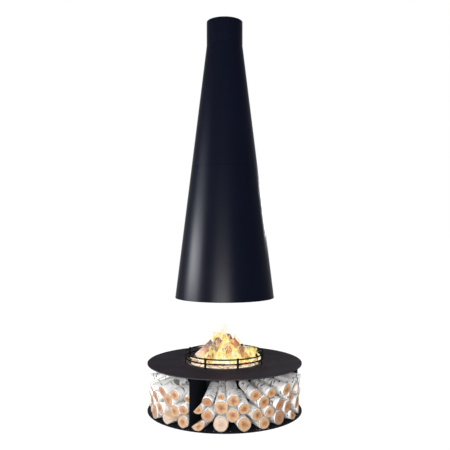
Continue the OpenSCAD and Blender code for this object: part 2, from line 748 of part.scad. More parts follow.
// Room between the middles of the first and the last log of a floor row
function floor_room(ds, count) = arc_half - log_gap - ds[count - 1] / 2 - foot_clear(ds[0] / 2);
function floor_need(ds, count) = total(ds, count) - (ds[0] + ds[count - 1]) / 2;
function floor_count(ds, count) =
    count < 2 || floor_need(ds, count) <= floor_room(ds, count) ? count : floor_count(ds, count - 1);

// Logs side by side on the base plate with equal gaps
function floor_row(entries) =
    let (
        ds = [for (entry = entries) diameter(entry)],
        count = floor_count(ds, len(ds)),
        gap = (floor_room(ds, count) - floor_need(ds, count)) / max(1, count - 1)
    )
    [for (i = [0:count - 1]) laid(foot_clear(ds[0] / 2) + total(ds, i) - ds[0] / 2 + ds[i] / 2 + i * gap,
        ds[i] / 2, split_face(entries[i]), [], 0)];

// Place of a log of radius r between two logs of the row below, nearer to the thinner one
function between(a, b, r) = let (d = b[4] - a[4], ra = a[2] + r, rb = b[2] + r)
    a[4] + d / 2 + (ra * ra - rb * rb) / (2 * d);

// One more row on the logs already there; an odd row has one log fewer than the row
// below, an even one has one more and so lies against the partitions
function next_row(below, there, entries, inset, i = 0, done = []) =
    i >= min(len(entries), len(below) + (inset ? -1 : 1)) ? done
    : let (
        r = diameter(entries[i]) / 2,
        left = inset ? i : i - 1,
        wall = arc_half - r - log_gap,
        s = left < 0 ? -wall : left + 1 >= len(below) ? wall : between(below[left], below[left + 1], r),
        turn = left < 0 || left + 1 >= len(below) ? 0 : 137 * i + 71 * len(there),
        log = laid(s, r, split_face(entries[i]), concat(there, done), turn)
    )
    next_row(below, there, entries, inset, i + 1, concat(done, r > 0 ? [log] : []));

// The rows of a stack up to a level
function stack(rows, level) = level == 0 ? [floor_row(rows[0])]
    : let (lower = stack(rows, level - 1), there = [for (row = lower, log = row) log])
    concat(lower, [next_row(lower[level - 1], there, rows[level], level % 2 == 1)]);

function top_of(log) = max(log[0][2] + log[2], log[1][2] + radius_at(log[2], 1));

// Draws one row of a bay; a log that would not fit under the hearth plate is left out
module log_row(middle, rows, level) color(log_bark) rotate([0, 0, middle]) {
    row = stack(rows, level)[level];
    for (i = [0:len(row) - 1]) let (log = row[i]) if (top_of(log) < log_ceiling) {
        length = log_len + log_stagger * cos(137 * i + 71 * level);
        from_to(log[0], log[1])
            round_or_split(log[2], radius_at(log[2], length / norm(log[1] - log[0])), length, log[3]);
    }
}

// Smallest gap between any two logs of a bay at a share of their length
function smallest_gap(rows, share) =
    let (logs = [for (row = stack(rows, 4), log = row) log])
    min([for (i = [0:len(logs) - 2], j = [i + 1:len(logs) - 1])
        norm(middle_at(logs[i], share) - middle_at(logs[j], share))
            - radius_at(logs[i][2] + logs[j][2], share)]);

front_middle = first_partition + 60;
rear_middle = first_partition + 180;
left_middle = first_partition + 300;
union() {
    for (rows = [front_rows, left_rows, rear_rows]) echo("smallest gaps between two logs of a bay",
        [for (share = even_shares) smallest_gap(rows, share)]);
}

// ---- Parts ----

base_plate();
partition(partition_az[0]);  // partition_left
partition(partition_az[1]);  // partition_right
partition(partition_az[2]);  // partition_rear
centre_drum();
hearth_plate();
base_screws();
plate_screws();
fire_bowl();
bowl_floor();
fire_grate();
grate_legs();
ember_bed();
fire_logs();
kindling();
guard_rail(guard_upper_z);  // guard_upper_rail
guard_rail(guard_lower_z);  // guard_lower_rail
guard_posts();
hood_lower_cone();
hood_rim_bar();
hood_upper_cone();
seam_bolts();
seam_nuts();
collar();
ceiling_plate();
hanger_rods();
hanger_nuts();
flue_socket();
damper_housing();
housing_screws();
spindle_bushes();
damper_spindle();
damper_plate();
damper_crank();
crank_clip();
pull_rod();
log_row(front_middle, front_rows, 0);  // front_logs_1
log_row(front_middle, front_rows, 1);  // front_logs_2
log_row(front_middle, front_rows, 2);  // front_logs_3
log_row(front_middle, front_rows, 3);  // front_logs_4
log_row(front_middle, front_rows, 4);  // front_logs_5
log_row(left_middle, left_rows, 0);  // left_logs_1
log_row(left_middle, left_rows, 1);  // left_logs_2
log_row(left_middle, left_rows, 2);  // left_logs_3
log_row(left_middle, left_rows, 3);  // left_logs_4
log_row(left_middle, left_rows, 4);  // left_logs_5
log_row(rear_middle, rear_rows, 0);  // rear_logs_1
log_row(rear_middle, rear_rows, 1);  // rear_logs_2
log_row(rear_middle, rear_rows, 2);  // rear_logs_3
log_row(rear_middle, rear_rows, 3);  // rear_logs_4
log_row(rear_middle, rear_rows, 4);  // rear_logs_5
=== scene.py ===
import math
import random

import bmesh
import bpy
import numpy as np
from mathutils import Matrix, Vector, noise


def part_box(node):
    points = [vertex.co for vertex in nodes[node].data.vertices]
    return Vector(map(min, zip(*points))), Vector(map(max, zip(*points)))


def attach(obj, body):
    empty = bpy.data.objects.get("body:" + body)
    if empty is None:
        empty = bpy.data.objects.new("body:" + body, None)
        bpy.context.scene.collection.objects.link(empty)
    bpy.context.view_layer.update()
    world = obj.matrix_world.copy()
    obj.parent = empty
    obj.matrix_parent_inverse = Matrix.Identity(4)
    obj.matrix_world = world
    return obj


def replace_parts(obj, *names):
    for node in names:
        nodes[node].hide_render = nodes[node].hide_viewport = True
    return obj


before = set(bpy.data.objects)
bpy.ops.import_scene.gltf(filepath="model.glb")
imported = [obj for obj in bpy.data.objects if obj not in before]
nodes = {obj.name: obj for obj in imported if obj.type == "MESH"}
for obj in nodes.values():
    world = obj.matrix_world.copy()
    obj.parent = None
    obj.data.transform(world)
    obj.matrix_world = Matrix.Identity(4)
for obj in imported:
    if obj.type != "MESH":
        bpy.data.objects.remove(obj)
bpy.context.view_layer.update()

# ---- Camera ----
# A level view from 5.8 m in front of the axis, at the eye height of someone standing.
# The small shifts put the photograph's horizon and axis where they lie in its frame.
frame_px = 450
focal_px = 594.57
horizon_px = 231.63
axis_px = 224.62
eye_distance = 5.824
eye_height = 1.728
eye = bpy.data.objects.new("eye", bpy.data.cameras.new("eye"))
eye.location = (0, -eye_distance, eye_height)
eye.rotation_euler = (math.pi / 2, 0, 0)
eye.data.sensor_width = 36
eye.data.lens = eye.data.sensor_width * focal_px / frame_px
eye.data.shift_x = (frame_px / 2 - axis_px) / frame_px
eye.data.shift_y = (horizon_px - frame_px / 2) / frame_px
bpy.context.scene.collection.objects.link(eye)
bpy.context.scene.camera = eye
bpy.context.scene.view_settings.view_transform = "Standard"


# ---- Studio ----
# A white room: the camera and the reflections see pure white, while the daylight that
# falls on the object is softer. Two softboxes in front light it; windows in front and at
# the left and a strip behind it are only mirrored in its dark paint.
class Wire:
    """The output of a node. Arithmetic on wires adds Math nodes to their tree."""

    def __init__(self, tree, socket=None):
        self.tree, self.socket = tree, socket

    def node(self, kind, inputs=None, output=0, stops=None, **settings):
        """Any node: its settings first, then the values or the wires of its sockets."""
        made = self.tree.nodes.new("ShaderNode" + kind)
        for name, value in settings.items():
            setattr(made, name, value)
        if stops:
            ramp = made.color_ramp.elements
            ramp[0].position, ramp[1].position = stops[0][0], stops[-1][0]
            ramp[0].color, ramp[1].color = (*stops[0][1], 1), (*stops[-1][1], 1)
            for place, colour in stops[1:-1]:
                ramp.new(place).color = (*colour, 1)
        for name, value in (inputs or {}).items():
            if isinstance(value, Wire):
                self.tree.links.new(value.socket, made.inputs[name])
            elif made.inputs[name].type == "RGBA":
                made.inputs[name].default_value = (*value[:3], 1)
            else:
                made.inputs[name].default_value = value
        return Wire(self.tree, made.outputs[output] if len(made.outputs) else None)

    def math(self, operation, first, second=0.0, clamp=False):
        return self.node("Math", {0: first, 1: second}, operation=operation, use_clamp=clamp)

    def __add__(self, other):
        return self.math("ADD", self, other)

    def __sub__(self, other):
        return self.math("SUBTRACT", self, other)

    def __rsub__(self, other):
        return self.math("SUBTRACT", other, self)

    def __mul__(self, other):
        return self.math("MULTIPLY", self, other)

    __radd__, __rmul__ = __add__, __mul__

    def clamped(self):
        return self.math("ADD", self, 0.0, clamp=True)

    def ramp(self, low, high):
        """0 below low, 1 above high, and straight in between."""
        return self.math("MULTIPLY", self - low, 1 / (high - low), clamp=True)

    def tint(self, low, high):
        """The colour low where this wire is 0, and high where it is 1."""
        return self.node("Mix", {0: self, 6: low, 7: high}, output=2, data_type="RGBA")

    def under(self, share, colour):
        """This colour with a share of another one laid over it."""
        return share.tint(self, colour)

    def ramp_colour(self, *stops):
        return self.node("ValToRGB", {0: self}, stops=stops)

    def stretched(self, x, y, z, shift=(0, 0, 0)):
        return self.node("Mapping", {"Vector": self, "Location": shift, "Scale": (x, y, z)})

    def noise(self, scale, detail=3.0, rough=0.55):
        return self.node("TexNoise", {"Vector": self, "Scale": scale, "Detail": detail, "Roughness": rough})

    def parts(self):
        """The three numbers of a vector."""
        split = self.node("SeparateXYZ", {0: self})
        return [Wire(self.tree, s) for s in split.socket.node.outputs]


def empty_tree(owner):
    """Clears the nodes of a world or a material and gives a wire to start from."""
    owner.use_nodes = True
    owner.node_tree.nodes.clear()
    return Wire(owner.node_tree)


def direct_view(wire):
    """1 for rays that show the room itself, in the picture or mirrored, and else 0."""
    rays = [wire.node("LightPath", output=f"Is {kind} Ray") for kind in ("Camera", "Glossy", "Transmission")]
    return (rays[0] + rays[1] + rays[2]).clamped()


daylight = 0.78
room = bpy.data.worlds.new("studio")
wire = empty_tree(room)
soft = wire.node("Background", {"Color": (0.97, 0.985, 1.0), "Strength": daylight})
white = wire.node("Background", {"Color": (1, 1, 1), "Strength": 1.0})
wire.node("OutputWorld", {"Surface": wire.node("MixShader", {0: direct_view(wire), 1: soft, 2: white})})
bpy.context.scene.world = room

floor_r = 150
floor_drop = 0.0006
floor_glow = 1.09
shadow_share = 0.16
studio_floor = bpy.data.materials.new("studio_floor")
wire = empty_tree(studio_floor)
matt = {"Base Color": (0.93, 0.93, 0.93), "Roughness": 0.9, "Specular IOR Level": 0.0}
lit = wire.node("BsdfPrincipled", matt)
glow = wire.node("Emission", {"Color": (1, 1, 1), "Strength": floor_glow})
mixed = wire.node("MixShader", {0: direct_view(wire) * (1 - shadow_share), 1: lit, 2: glow})
wire.node("OutputMaterial", {"Surface": mixed})
bm = bmesh.new()
bmesh.ops.create_circle(bm, cap_ends=True, segments=64, radius=floor_r)
bmesh.ops.translate(bm, verts=bm.verts, vec=(0, 0, -floor_drop))
ground = bpy.data.objects.new("ground", bpy.data.meshes.new("ground"))
bm.to_mesh(ground.data)
bm.free()
ground.data.materials.append(studio_floor)
bpy.context.scene.collection.objects.link(ground)


def around(azimuth, r, height):
    """The point at a radius and at an azimuth from the front, in radians to the right."""
    return Vector((r * math.sin(azimuth), -r * math.cos(azimuth), height))


def lamp(name, azimuth, distance, height, aim, size, watts, shines=True, mirrored=True):
    """An area lamp at an azimuth in degrees, turned to the height aim on the axis. It may
    only shine on the object, or only be mirrored in it."""
    made = bpy.data.objects.new(name, bpy.data.lights.new(name, "AREA"))
    made.location = around(math.radians(azimuth), distance, height)
    made.rotation_euler = (Vector((0, 0, aim)) - made.location).to_track_quat("-Z", "Y").to_euler()
    made.data.shape, made.data.size, made.data.size_y = "RECTANGLE", size[0], size[1]
    made.data.energy = watts
    made.visible_diffuse, made.visible_glossy = shines, mirrored
    bpy.context.scene.collection.objects.link(made)


lamp("front_softbox", -12, 6.4, 1.5, 0.7, (2.6, 1.8), 155, mirrored=False)
lamp("high_softbox", -35, 5.0, 4.2, 1.0, (2.5, 2.0), 65, mirrored=False)
lamp("front_windows", -6, 6.2, 1.25, 1.2, (3.6, 0.7), 4300, shines=False)
lamp("left_window", -78, 4.2, 1.95, 1.5, (2.3, 0.9), 2100, shines=False)
lamp("left_window_top", -78, 4.2, 3.1, 2.2, (2.3, 1.2), 330, shines=False)
lamp("rear_right_strip", 152, 4.5, 2.3, 1.9, (0.9, 0.9), 72, shines=False)


# ---- Base plate, partitions, drum and ceiling plate ----
# Laser-cut and folded sheet steel with a blue-black satin powder coat. The folded
# partitions and the rolled drum are screwed to the base plate and to the plate above.
def finish(name, surface, bump=None, **constants):
    """A material with one Principled shader. surface gets a wire to start from and gives
    the varying sockets, and bump the distance of its "Height"; the rest are constants."""
    made = bpy.data.materials.new(name)
    start = empty_tree(made)
    sockets = surface(start)
    height = sockets.pop("Height", None)
    if height is not None:
        sockets["Normal"] = start.node("Bump", {"Strength": 1.0, "Distance": bump, "Height": height})
    sockets.update({key.replace("_", " "): value for key, value in constants.items()})
    start.node("OutputMaterial", {"Surface": start.node("BsdfPrincipled", sockets)})
    return made


def powder_coat(colour, worn, gloss):
    """Dark paint with the faint orange peel of powder, a film of dust and rubbed places."""

    def surface(w):
        place = w.node("TexCoord", output="Object")
        cloud = place.noise(2.3, 4.0)
        dust = place.noise(38.0, 5.0, 0.7).ramp(0.52, 0.8) * cloud.ramp(0.35, 0.7)
        return {
            "Base Color": (dust * 0.35 + cloud * 0.12).tint(colour, worn),
            "Roughness": cloud * 0.10 + dust * 0.2 + gloss,
            "Height": place.noise(420.0, 2.0) + place.noise(1.6, 1.0) * 3.0,
        }

    return surface


store_paint = finish(
    "store_paint", powder_coat((0.007, 0.0085, 0.014), (0.06, 0.062, 0.07), 0.42), 0.00012,
    Specular_IOR_Level=0.008,
)


def dress(material, *names):
    """Gives a CAD node's own mesh a finish."""
    for name in names:
        nodes[name].data.materials.clear()
        nodes[name].data.materials.append(material)


dress(store_paint, "base_plate", "partition_left", "partition_right", "partition_rear")
dress(store_paint, "centre_drum", "ceiling_plate")


# ---- Screws, bolts and nuts ----
# Bright zinc-plated machine screws through the flanges, the bolts, nuts and hanger rods
# of the hood, and the clip on the crank's pin, all stock fasteners.
def plated(w):
    place = w.node("TexCoord", output="Object")
    bloom = place.noise(60.0, 3.0)
    return {
        "Base Color": bloom.tint((0.55, 0.56, 0.58), (0.74, 0.74, 0.72)),
        "Roughness": bloom * 0.2 + 0.24,
        "Height": place.noise(700.0, 2.0),
    }


zinc = finish("zinc", plated, 0.0001, Metallic=1.0)
dress(zinc, "base_screws", "plate_screws", "seam_bolts", "seam_nuts", "hanger_rods", "hanger_nuts")
dress(zinc, "housing_screws", "crank_clip")


# ---- Stored birch logs ----
# Birch cut to 27 cm, some of it split once: white papery bark with black dashes and
# scars, and pale sawn ends. The logs are only laid on each other in the bays.
def solids_of(bm):
    """The vertices of each separate solid in a bmesh."""
    left = set(bm.verts)
    while left:
        first = min(left, key=lambda v: v.index)
        island, reach = {first}, [first]
        while reach:
            for edge in reach.pop().link_edges:
                for vert in edge.verts:
                    if vert not in island:
                        island.add(vert)
                        reach.append(vert)
        left -= island
        yield sorted(island, key=lambda v: v.index)


def end_circle(rim):
    """The middle and the radius of the circle through the points of a log's end, and the
    direction of its flat face if the log is split."""
    middle = rim.mean(0)
    u, v = np.linalg.svd(rim - middle)[2][:2]
    flat = np.c_[(rim - middle) @ u, (rim - middle) @ v]
    fit = np.linalg.lstsq(np.c_[2 * flat, np.ones(len(flat))], (flat**2).sum(1), rcond=None)[0]
    turns = np.sort(np.arctan2(flat[:, 1] - fit[1], flat[:, 0] - fit[0]))
    gaps = np.diff(np.r_[turns, turns[0] + 2 * math.pi])
    facing = None
    if gaps.max() > 1:
        a = turns[gaps.argmax()] + gaps.max() / 2
        facing = Vector(u * math.cos(a) + v * math.sin(a))
    radius = math.sqrt(fit[2] + fit[0] ** 2 + fit[1] ** 2)
    return Vector(middle + u * fit[0] + v * fit[1]), radius, facing


def logs_of(name, foot_first=False):
    """Both end circles of every log in a CAD node, from the inner end or from the foot.
    Only points near the ends are read, because some meshes have rings in between."""
    rim_depth = 0.006
    copy = bmesh.new()
    copy.from_mesh(nodes[name].data)
    bmesh.ops.remove_doubles(copy, verts=copy.verts, dist=1e-5)
    found = []
    for solid in solids_of(copy):
        points = np.array([v.co for v in solid], float)
        axis = np.linalg.svd(points - points.mean(0))[2][0]
        along = points @ axis
        rims = points[along < along.min() + rim_depth], points[along > along.max() - rim_depth]
        ends = [end_circle(rim) for rim in rims]
        ends.sort(key=lambda end: end[0].z if foot_first else end[0].to_2d().length)
        found.append(ends)
    copy.free()
    return sorted(found, key=lambda ends: tuple(ends[0][0]))


def on_end(point):
    """Whether a point of a turned log lies on one of its ends."""
    return abs(point.z) > 0.4999


def turned_log(sides=36):
    """A bmesh of a log of radius 1 and length 1 about the origin, with rings along its
    bark, slot 0, and rings on its two ends, slot 1."""
    log = bmesh.new()
    bmesh.ops.create_cone(log, cap_ends=True, segments=sides, radius1=1, radius2=1, depth=1)
    lengthways = [e for e in log.edges if abs(e.verts[0].co.z - e.verts[1].co.z) > 0.5]
    bmesh.ops.subdivide_edges(log, edges=lengthways, cuts=11)
    caps = [f for f in log.faces if len(f.verts) == sides]
    for thickness in (0.065, 0.22, 0.3):
        bmesh.ops.inset_individual(log, faces=caps, thickness=thickness)
    bmesh.ops.poke(log, faces=caps)
    for face in log.faces:
        is_end = on_end(face.calc_center_median())
        face.material_index = 1 if is_end else 0
        face.smooth = not is_end
    return log


def unroll(log, uv, radius, length, offset, seed):
    """The UV map of a turned log: metres round and along on the bark, and a disc of
    radius 1 on the ends, shifted by 4 from one log to the next."""
    for face in log.faces:
        turns = [math.atan2(loop.vert.co.x, loop.vert.co.y) for loop in face.loops]
        for loop, turn in zip(face.loops, turns):
            if face.material_index == 1:
                loop[uv].uv = (loop.vert.co.x + 4 * (seed % 24), loop.vert.co.y)
            else:
                turn += 2 * math.pi if max(turns) - min(turns) > math.pi and turn < 0 else 0
                loop[uv].uv = (turn * radius + offset.x, loop.vert.co.z * length + offset.y)


def move_into(whole, part):
    """Moves the mesh of one bmesh into another."""
    scratch = bpy.data.meshes.new("scratch")
    part.to_mesh(scratch)
    part.free()
    whole.from_mesh(scratch)
    bpy.data.meshes.remove(scratch)


def add_log(whole, ends, seed, lumps=0.035, slant=0.05, burn=(0, 0)):
    """Adds a log between two end circles to a bmesh, with its split face in slot 2.
    "tone" is one number for the log, and "burn" how far its two ends are charred."""
    (a, ra, facing), (b, rb, _) = ends
    length = (b - a).length
    along = (b - a) / length
    side = along.cross(Vector((0, 1, 0)) if abs(along.z) > 0.9 else Vector((0, 0, 1))).normalized()
    up = along.cross(side)
    flat = Vector((facing.dot(side), facing.dot(up))).normalized() if facing else None
    luck = random.Random(seed)
    offset = Vector([luck.uniform(0, 9) for _ in range(3)])
    tone_of_log, saw_turn = luck.random(), luck.uniform(0, 6.3)

    log = turned_log()
    uv = log.loops.layers.uv.new("wood")
    tone = log.verts.layers.float.new("tone")
    char = log.verts.layers.float.new("burn")
    unroll(log, uv, ra, length, offset, seed)
    for vert in log.verts:
        x, y, z = vert.co
        t, ring = z + 0.5, math.hypot(x, y)
        turn = Vector((x, y)) / ring if ring > 1e-6 else Vector((0, 1))
        wave = noise.noise(Vector((turn.x, turn.y, t * 2.2)) * 1.1 + offset)
        knob = noise.noise(Vector((turn.x * 3, turn.y * 3, t * 9)) + offset)
        r = (ra + (rb - ra) * t) * (1 - lumps * (0.75 - wave) + 0.4 * lumps * min(0, knob))
        middle, p = Vector((0, 0)), turn * r
        if flat:
            middle = flat * (-0.36 * r)
            rift = noise.noise(Vector((turn.x * 4, turn.y * 4, t * 1.3)) + offset)
            p -= flat * max(0, p.dot(flat) - (0.10 + 0.05 * rift) * r)
        p = middle + (p - middle) * ring
        inward = 0.0008 * noise.noise(Vector((p.x * 90, p.y * 90, 0)) + offset)
        inward -= 0.0012 if on_end(vert.co) and ring > 0.97 else 0
        if on_end(vert.co) and z > 0:
            inward -= slant * (r + p.x * math.cos(saw_turn) + p.y * math.sin(saw_turn))
        vert.co = a + along * (t * length + inward * (1 if z > 0 else -1)) + side * p.x + up * p.y
        vert[tone], vert[char] = tone_of_log, min(1, max(0, burn[0] + (burn[1] - burn[0]) * t))
    for face in log.faces:
        face.normal_update()
        if flat and face.material_index == 0 and face.normal.dot(facing) > 0.8:
            face.material_index = 2
            for loop in face.loops:
                q = loop.vert.co - a
                loop[uv].uv = (q.dot(facing.cross(along)) + offset.x, q.dot(along) + offset.y)
    bmesh.ops.recalc_face_normals(log, faces=log.faces)
    move_into(whole, log)


def birch_bark(w):
    """White papery bark: black dashes round the log, black scars, peeled tan patches."""
    place = w.node("UVMap", uv_map="wood")
    tone = w.node("Attribute", attribute_name="tone", output="Fac")
    hair = place.stretched(16, 240, 1).noise(1.0, 3.0, 0.6).ramp(0.60, 0.68)
    dashes = place.stretched(11, 55, 1).noise(1.0, 2.0, 0.5).ramp(0.62, 0.64)
    scars = place.stretched(13, 19, 1, (5, 2, 0)).noise(1.0, 3.0, 0.55).ramp(0.63, 0.645)
    peeled = place.stretched(9, 7, 1).noise(1.0, 4.0, 0.7).ramp(0.60, 0.72)
    grey = place.stretched(5, 20, 1).noise(1.0, 4.0, 0.6).ramp(0.46, 0.72)
    colour = (tone * 0.15 + grey * 0.4).tint((0.95, 0.935, 0.915), (0.56, 0.52, 0.49))
    colour = colour.under(peeled * 0.75, (0.62, 0.42, 0.28))
    colour = colour.under(hair * 0.6, (0.20, 0.17, 0.16))
    black = (dashes + scars).clamped()
    colour = colour.under(black * 0.95, (0.022, 0.02, 0.02))
    fine = place.stretched(60, 400, 1).noise(1.0, 2.0)
    return {
        "Base Color": colour,
        "Roughness": black * 0.25 + peeled * 0.15 + 0.55,
        "Height": fine * 0.25 + peeled * -0.8 + hair * -0.4 + black * 0.8,
    }


def sawn_end(w):
    """The sawn end: growth rings round a darker heart, drying checks and a bark rim."""
    flat = w.node("UVMap", uv_map="wood")
    tone = w.node("Attribute", attribute_name="tone", output="Fac")
    x, y, _ = flat.parts()
    x = x - w.math("ROUND", x * 0.25) * 4.0
    wobble = flat.noise(1.9, 4.0, 0.6)
    r = w.math("SQRT", x * x + y * y)
    rings = w.math("SINE", (r + wobble * 0.16) * 52.0) * 0.5 + 0.5
    checks = w.math("SINE", w.math("ARCTAN2", y, x) * 5.0 + wobble * 14.0).ramp(0.985, 0.999)
    checks = checks * (1 - r.ramp(0.35, 0.80))
    fuzz = flat.noise(24.0, 4.0, 0.7)
    outward = r * 0.95 + (wobble - 0.5) * 1.2 - tone * 0.12
    colour = outward.ramp_colour(
        (0.0, (0.20, 0.06, 0.015)), (0.2, (0.34, 0.13, 0.035)), (0.45, (0.52, 0.27, 0.11)),
        (0.75, (0.62, 0.38, 0.19)), (1.0, (0.70, 0.48, 0.28)),
    )
    colour = colour.under(tone.ramp(0.55, 1.0) * 0.7, (0.40, 0.17, 0.08))
    colour = colour.under((0.16 - tone).ramp(0.0, 0.1) * 0.7, (0.74, 0.63, 0.54))
    colour = colour.under(rings * 0.25 + fuzz.ramp(0.4, 0.8) * 0.25, (0.40, 0.20, 0.10))
    colour = colour.under(checks * 0.5, (0.10, 0.05, 0.03))
    colour = colour.under(r.ramp(0.885, 0.92) * 0.85, (0.16, 0.075, 0.04))
    colour = colour.under(r.ramp(0.955, 0.975), (0.62, 0.58, 0.54))
    return {
        "Base Color": colour,
        "Roughness": fuzz * 0.15 + 0.68,
        "Height": rings * 0.3 + fuzz * 0.7 + checks * -3.0,
    }


def split_wood(w):
    """The torn face along a split: pale fibres that run the length of the log."""
    place = w.node("UVMap", uv_map="wood")
    tone = w.node("Attribute", attribute_name="tone", output="Fac")
    fibres = place.stretched(260, 9, 1).noise(1.0, 4.0, 0.6)
    patch = place.stretched(14, 5, 1).noise(1.0, 3.0).ramp(0.4, 0.75)
    colour = tone.tint((0.88, 0.66, 0.44), (0.64, 0.40, 0.22)).under(patch * 0.6, (0.47, 0.25, 0.13))
    return {
        "Base Color": colour.under(fibres.ramp(0.5, 0.8) * 0.6, (0.26, 0.13, 0.07)),
        "Roughness": fibres * 0.1 + 0.66,
        "Height": fibres + patch * 2.0,
    }


bark_finish = finish("birch_bark", birch_bark, 0.0009, Specular_IOR_Level=0.3)
end_finish = finish("sawn_end", sawn_end, 0.0005, Specular_IOR_Level=0.15)
split_finish = finish("split_birch", split_wood, 0.0012, Specular_IOR_Level=0.15)


def piece(name, bm, body, slot, *finishes):
    """A finished piece of the object from a bmesh whose place is in its vertices."""
    made = bpy.data.objects.new(name, bpy.data.meshes.new(name))
    bm.to_mesh(made.data)
    bm.free()
    for material in finishes:
        made.data.materials.append(material)
    bpy.context.scene.collection.objects.link(made)
    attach(made, body)
    return made


log_number = 0
for bay in ("front", "left", "rear"):
    for row in range(1, 6):
        node = f"{bay}_logs_{row}"
        bm = bmesh.new()
        for ends in logs_of(node):
            log_number += 1
            add_log(bm, ends, log_number)
        birch = piece(f"birch_{bay}_{row}", bm, "root", "birch", bark_finish, end_finish, split_finish)
        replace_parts(birch, node)


# ---- Bark flakes on the base plate ----
# Shreds of bark that fall off the logs when they are laid in, curled as they dry.
def flake(w):
    place = w.node("TexCoord", output="Object")
    mix = place.noise(90.0, 2.0).ramp(0.35, 0.65)
    return {"Base Color": mix.tint((0.60, 0.55, 0.50), (0.26, 0.14, 0.08)), "Roughness": mix * 0.1 + 0.7}


flake_count = 26
flake_heaps = (-150, -98, -40, -5, 25, 50, 120)
base_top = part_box("base_plate")[1].z
bm = bmesh.new()
luck = random.Random(41)
for i in range(flake_count):
    azimuth = math.radians(luck.choice(flake_heaps) + luck.gauss(0, 13))
    reach = luck.uniform(0.690, 0.738)
    length, width = luck.uniform(0.004, 0.015), luck.uniform(0.002, 0.006)
    made = bmesh.ops.create_grid(bm, x_segments=4, y_segments=2, size=0.5)["verts"]
    faces = list({f for v in made for f in v.link_faces})
    shell = bmesh.ops.solidify(bm, geom=faces, thickness=0.0006)["geom"]
    made = list(set(made) | {v for v in shell if isinstance(v, bmesh.types.BMVert)})
    curl = luck.uniform(0.0, 0.004)
    for v in made:
        v.co = Vector((v.co.x * length, v.co.y * width, v.co.z + 0.0013 + curl * v.co.x**2 * 4))
    bmesh.ops.rotate(bm, verts=made, cent=(0, 0, 0), matrix=Matrix.Rotation(luck.uniform(0, 3.1), 3, "Z"))
    bmesh.ops.translate(bm, verts=made, vec=around(azimuth, reach, base_top))
bmesh.ops.recalc_face_normals(bm, faces=bm.faces)
piece("bark_flakes", bm, "root", "birch", finish("bark_flakes", flake))


# ---- Hearth plate ----
# A 10 mm plate of hot-rolled steel, blackened and waxed, with the bowl's opening cut
# out and its rim broken. Mill scale, heat and ash have left it mottled and warm grey.
# Its outer edge is painted lighter, a painted reflection of the white room.
hearth_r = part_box("hearth_plate")[1].x


def blackened_plate(w):
    place = w.node("TexCoord", output="Object")
    x, y, _ = place.parts()
    r = w.math("SQRT", x * x + y * y)
    cloud = place.noise(4.0, 6.0, 0.65)
    scale = place.noise(75.0, 4.0, 0.7)
    ash = place.noise(150.0, 3.0, 0.7).ramp(0.56, 0.72) * (1 - r.ramp(0.37, 0.52))
    # painted reflection: the last millimetre or so of the outer edge is painted lighter, standing in for the
    # white room mirrored in it
    edge = r.ramp(hearth_r - 0.0016, hearth_r - 0.0004)
    colour = cloud.ramp(0.3, 0.7).tint((0.0155, 0.0130, 0.0200), (0.030, 0.0245, 0.032))
    colour = colour.under(scale.ramp(0.5, 0.8) * 0.2, (0.06, 0.05, 0.05))
    colour = colour.under(ash * 0.5, (0.30, 0.27, 0.24))
    return {
        # the painted reflection laid over the outer edge
        "Base Color": colour.under(edge * 0.8, (0.055, 0.047, 0.053)),
        "Roughness": cloud * 0.10 + scale * 0.12 + 0.46,
        "Height": scale + cloud * 2.0,
    }


dress(finish("hearth_steel", blackened_plate, 0.00012, Specular_IOR_Level=0.004), "hearth_plate")


# ---- Fire bowl and grate ----
# The bowl is a spun ring with a welded floor that hangs by its lip in the plate; the
# loose grate of welded bars stands in it on four legs. Bare steel, scaled by the heat.
def scaled_steel(w):
    place = w.node("TexCoord", output="Object")
    rust = place.noise(22.0, 5.0, 0.7)
    ash = place.noise(9.0, 4.0).ramp(0.5, 0.75)
    colour = rust.ramp(0.4, 0.7).tint((0.030, 0.027, 0.027), (0.085, 0.045, 0.028))
    return {
        "Base Color": colour.under(ash * 0.5, (0.28, 0.26, 0.24)),
        "Roughness": rust * 0.2 + 0.6,
        "Height": rust * 2.0 + place.noise(260.0),
    }


fire_steel = finish("fire_steel", scaled_steel, 0.0005, Specular_IOR_Level=0.1)
dress(fire_steel, "fire_bowl", "bowl_floor", "fire_grate", "grate_legs")


# ---- Ember bed ----
# Ash and glowing coals heaped on the grate to just above the bowl's lip: a lumpy bed
# with single coals on it, white-hot in the middle and duller towards the bowl's wall.
def embers(w):
    place = w.node("TexCoord", output="Object")
    x, y, _ = place.parts()
    r = w.math("SQRT", x * x + y * y)
    lumps = place.node("TexVoronoi", {"Vector": place, "Scale": 26.0})
    joints = place.node("TexVoronoi", {"Vector": place, "Scale": 26.0}, feature="DISTANCE_TO_EDGE")
    ash = place.noise(26.0, 5.0, 0.7)
    heat = joints.ramp(0.0, 0.10) * 0.45 + place.noise(13.0, 3.0).ramp(0.34, 0.56) * 0.62
    heat = (heat + ash.ramp(0.4, 0.6) * 0.12 - r.ramp(0.315, 0.345) * 0.30).clamped()
    glow = heat.ramp_colour(
        (0.0, (0.05, 0.02, 0.015)), (0.3, (0.26, 0.12, 0.06)), (0.55, (0.58, 0.38, 0.21)),
        (0.8, (0.95, 0.72, 0.48)), (1.0, (1.0, 0.95, 0.82)),
    )
    return {
        "Base Color": ash.ramp(0.35, 0.65).tint((0.05, 0.035, 0.03), (0.62, 0.55, 0.48)),
        "Roughness": ash * 0.1 + 0.8,
        "Emission Color": glow,
        "Height": lumps * -2.0 + ash,
    }


